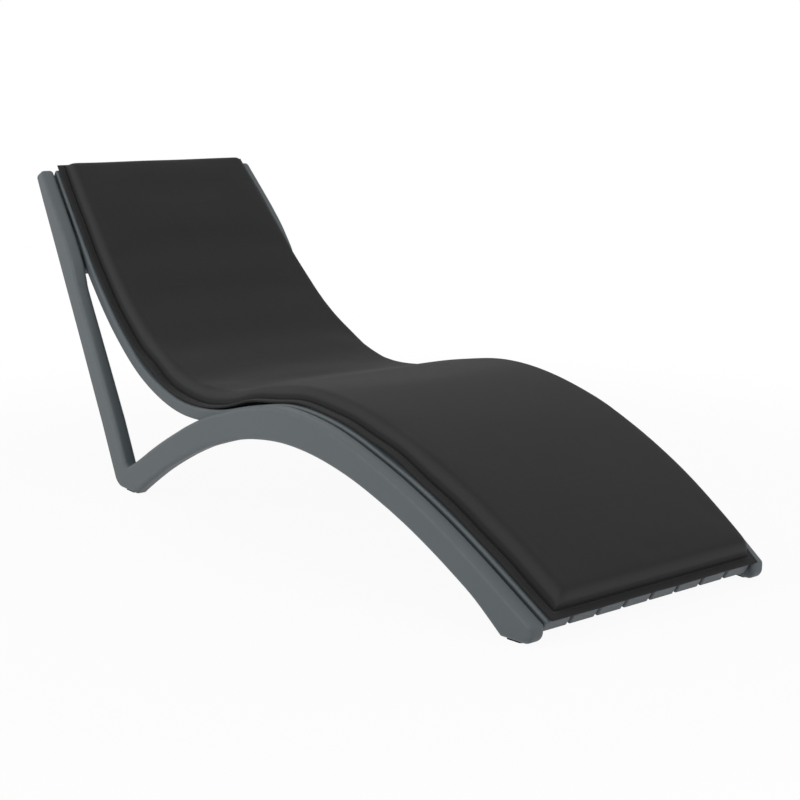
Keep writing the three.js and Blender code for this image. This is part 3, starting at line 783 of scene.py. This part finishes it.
# Air pressure in the cover: the held points stay, the rest follow the cloth for some frames, and no
# point goes further than the cap
def inflate(piece, held):
    cloth = piece.modifiers.new("swell", "CLOTH")
    group = piece.vertex_groups.new(name="held")
    group.add(np.nonzero(held)[0].tolist(), 1.0, "REPLACE")
    settings = cloth.settings
    settings.vertex_group_mass = "held"
    settings.quality = swelling["quality"]
    settings.mass = swelling["mass"]
    settings.tension_stiffness = settings.compression_stiffness = swelling["stretch"]
    settings.shear_stiffness = swelling["shear"]
    settings.bending_stiffness = swelling["bend"]
    settings.shrink_min = -swelling["ease"]
    settings.use_pressure = True
    settings.uniform_pressure_force = swelling["pressure"]
    settings.effector_weights.gravity = 0
    scene = bpy.context.scene
    for number in range(1, swelling["frames"] + 1):
        scene.frame_set(number)
    seen = piece.evaluated_get(bpy.context.evaluated_depsgraph_get()).data
    before, moved = pointsOf(piece.data), pointsOf(seen)
    step = moved - before
    length = np.linalg.norm(step, axis=1, keepdims=True)
    step *= np.minimum(1, swelling["cap"] / np.maximum(length, 1e-9))
    piece.modifiers.remove(cloth)
    piece.vertex_groups.remove(group)
    piece.data.vertices.foreach_set("co", (before + step).ravel())
    piece.data.update()
    scene.frame_set(1)
    furthest = round(float(length.max()) * 1000, 1)
    print("stage: cover inflated, points moved", furthest, "mm at most before the cap")


cover = {
    "color": (0.023, 0.0231, 0.0234, 1),
    "thread": (0.041, 0.0412, 0.0416, 1),       # the lightest threads
    "paintedRollLight": (0.054, 0.0542, 0.0548, 1),         # painted light: the lighter tone over the roll inside the crease
    "paintedCreaseShade": (0.004, 0.004, 0.004, 1),           # painted shade down in the crease
    "yarn": (0.062, 0.062, 0.063, 1),           # of the stitches
    "pitch": 0.0013,          # of the weave
    "stitch": 0.005,          # from one stitch to the next
    "stitchRow": -0.0045,     # from the crease, outwards below nought
    "grain": 0.0003,          # height of weave and stitches
}


# Charcoal outdoor cloth: plain weave, weathered, with painted shade making it near black down in the crease,
# painted light making it a tone lighter over the roll, and a row of stitches on the flange beside it
def coverMaterial():
    material, tree, shader = newMaterial("cushionCover", Sheen_Weight=0.05, Sheen_Roughness=0.5,
                                         Specular_IOR_Level=0.18)
    cloth = fillGroup(tree, plainWeave, {"Color": cover["color"], "Thread": cover["thread"],
                                         "Pitch": cover["pitch"], "Fleck": 0.55})
    cloudy = fillGroup(tree, weather, {"Color": cloth["Color"], "Amount": 0.16, "Size": 5.0,
                                       "Roughness": 0.86})
    seam = addNode(tree, "Attribute", attribute_name="seam").outputs["Fac"]
    run = addNode(tree, "Attribute", attribute_name="seamRun").outputs["Fac"]

    def fade(value, start, end, most):
        return addNode(tree, "MapRange", {"Value": value, "From Min": start, "From Max": end, "To Min": most,
                                          "To Max": 0.0}, interpolation_type="SMOOTHSTEP").outputs[0]

    def blend(mask, under, over):
        mixed = addNode(tree, "Mix", {"Factor": mask, "A": under, "B": over}, data_type="RGBA")
        return mixed.outputs["Result"]
    # Painted light: inside the crease the cloth is blended towards a lighter tone over the roll, strongest
    # next to the crease and fading inwards
    inside = maths(tree, "GREATER_THAN", seam, 0.0005)
    mapped = maths(tree, "MULTIPLY", fade(seam, 0.002, cushion["roll"] * 0.7, 0.85), inside)
    withRollLight = blend(mapped, cloudy["Color"], cover["paintedRollLight"])
    # Painted shade: the cloth turns near black within about 2.6 mm of the crease
    shaded = blend(fade(maths(tree, "ABSOLUTE", seam), 0.0008, 0.0026, 0.45), withRollLight, cover["paintedCreaseShade"])
    row = maths(tree, "COMPARE", seam, cover["stitchRow"], 0.0005)
    along = maths(tree, "FRACT", maths(tree, "DIVIDE", run, cover["stitch"]))
    stitches = maths(tree, "MULTIPLY", row, maths(tree, "LESS_THAN", along, 0.66))
    tree.links.new(blend(stitches, shaded, cover["yarn"]), shader["Base Color"])
    tree.links.new(cloudy["Roughness"], shader["Roughness"])
    woven = maths(tree, "MULTIPLY", cloth["Height"], 0.4)
    height = maths(tree, "ADD", woven, maths(tree, "MULTIPLY", stitches, 1.5))
    addBump(tree, shader, height, cover["grain"], 0.7)
    return material


points, faces, uv, marks, held = padMesh()
pad = addPiece("seat_cushion", "cushion", coverMaterial(), points, faces, ["cushion"],
               uv=uv, marks=marks)
inflate(pad, held)
smoothing = pad.modifiers.new("smoothing", "SUBSURF")
smoothing.levels = smoothing.render_levels = 1
print("stage: cushion,", len(points), "points")

# Camera at the photograph's place: turned from +Y to the left and tipped down in degrees, and its focal
# length and the picture's width in pixels
camera = {"place": (2.716, -2.017, 0.929), "turn": 51.617, "down": 11.507, "focal": 1577, "image": 800}
cameraData = bpy.data.cameras.new("camera")
cameraObject = bpy.data.objects.new("camera", cameraData)
bpy.context.scene.collection.objects.link(cameraObject)
cameraData.sensor_width = 36
cameraData.lens = camera["focal"] / camera["image"] * cameraData.sensor_width
cameraObject.location = camera["place"]
cameraObject.rotation_euler = Euler((math.radians(90 - camera["down"]), 0, math.radians(camera["turn"])))
bpy.context.scene.camera = cameraObject


# A soft box: a square lamp at a place, turned towards the middle of the lounger
def addSoftBox(name, place, size, power):
    data = bpy.data.lights.new(name, "AREA")
    data.size = size
    data.energy = power
    lamp = bpy.data.objects.new(name, data)
    bpy.context.scene.collection.objects.link(lamp)
    lamp.location = place
    lamp.rotation_euler = (Vector((0, 0, 0.3)) - Vector(place)).to_track_quat("-Z", "Y").to_euler()


# Place, width and watts
lamps = {
    "side": ((-0.6, -4.6, 2.2), 3.0, 74),
    "foot": ((4.6, 0.8, 2.0), 2.4, 28),
    "above": ((0.2, 0.6, 4.2), 3.2, 20),
}
worldLight = 0.39
for name, values in lamps.items():
    addSoftBox(f"{name}_light", *values)

# The world: pure white where the camera, a reflection or glass looks at it, dimmer as a light
world = bpy.data.worlds.new("studio")
bpy.context.scene.world = world
world.use_nodes = True
tree = world.node_tree
path = addNode(tree, "LightPath").outputs
seen = maths(tree, "MAXIMUM", path["Is Camera Ray"], path["Is Glossy Ray"])
seen = maths(tree, "MAXIMUM", seen, path["Is Transmission Ray"])
strength = addNode(tree, "MapRange", {"Value": seen, "To Min": worldLight, "To Max": 1.0}).outputs[0]
background = tree.nodes["Background"].inputs
background["Color"].default_value = (1, 1, 1, 1)
tree.links.new(strength, background["Strength"])


# The floor: a pale disc that turns to plain white light away from the lounger, and keeps part of the
# lounger's shadow near it
def addFloor(radius=14.0, count=96, drop=0.0002):
    turn = np.arange(count) * 2 * math.pi / count
    points = np.stack([radius * np.cos(turn), radius * np.sin(turn), np.full(count, -drop)], 1)
    mesh = bpy.data.meshes.new("floor")
    mesh.from_pydata(points.tolist(), [], [list(range(count))])
    material, tree, shader = newMaterial("floorWhite", Roughness=0.9, Specular_IOR_Level=0.0)
    grain = noiseOf(tree, 1.3, 3.0)
    tint = addNode(tree, "MapRange", {"Value": grain, "To Min": 0.86, "To Max": 0.90}).outputs[0]
    tree.links.new(tint, shader["Base Color"])
    distance = addNode(tree, "VectorMath", {0: addNode(tree, "TexCoord").outputs["Object"]},
                       operation="LENGTH").outputs["Value"]
    far = addNode(tree, "MapRange", {"Value": distance, "From Min": 1.0, "From Max": 2.2, "To Min": 0.94,
                                     "To Max": 1.0}, interpolation_type="SMOOTHSTEP").outputs[0]
    path = addNode(tree, "LightPath").outputs
    white = maths(tree, "MAXIMUM", path["Is Camera Ray"], path["Is Glossy Ray"])
    white = maths(tree, "MULTIPLY", white, far)
    glow = addNode(tree, "Emission", {"Color": (1, 1, 1, 1), "Strength": 1.0}).outputs[0]
    matt = tree.nodes["Principled BSDF"].outputs[0]
    mix = addNode(tree, "MixShader", {0: white, 1: matt, 2: glow}).outputs[0]
    tree.links.new(mix, tree.nodes["Material Output"].inputs["Surface"])
    mesh.materials.append(material)
    floor = bpy.data.objects.new("floor", mesh)
    bpy.context.scene.collection.objects.link(floor)


addFloor()
bpy.context.scene.view_settings.view_transform = "Standard"
print("stage: camera, lights and floor")
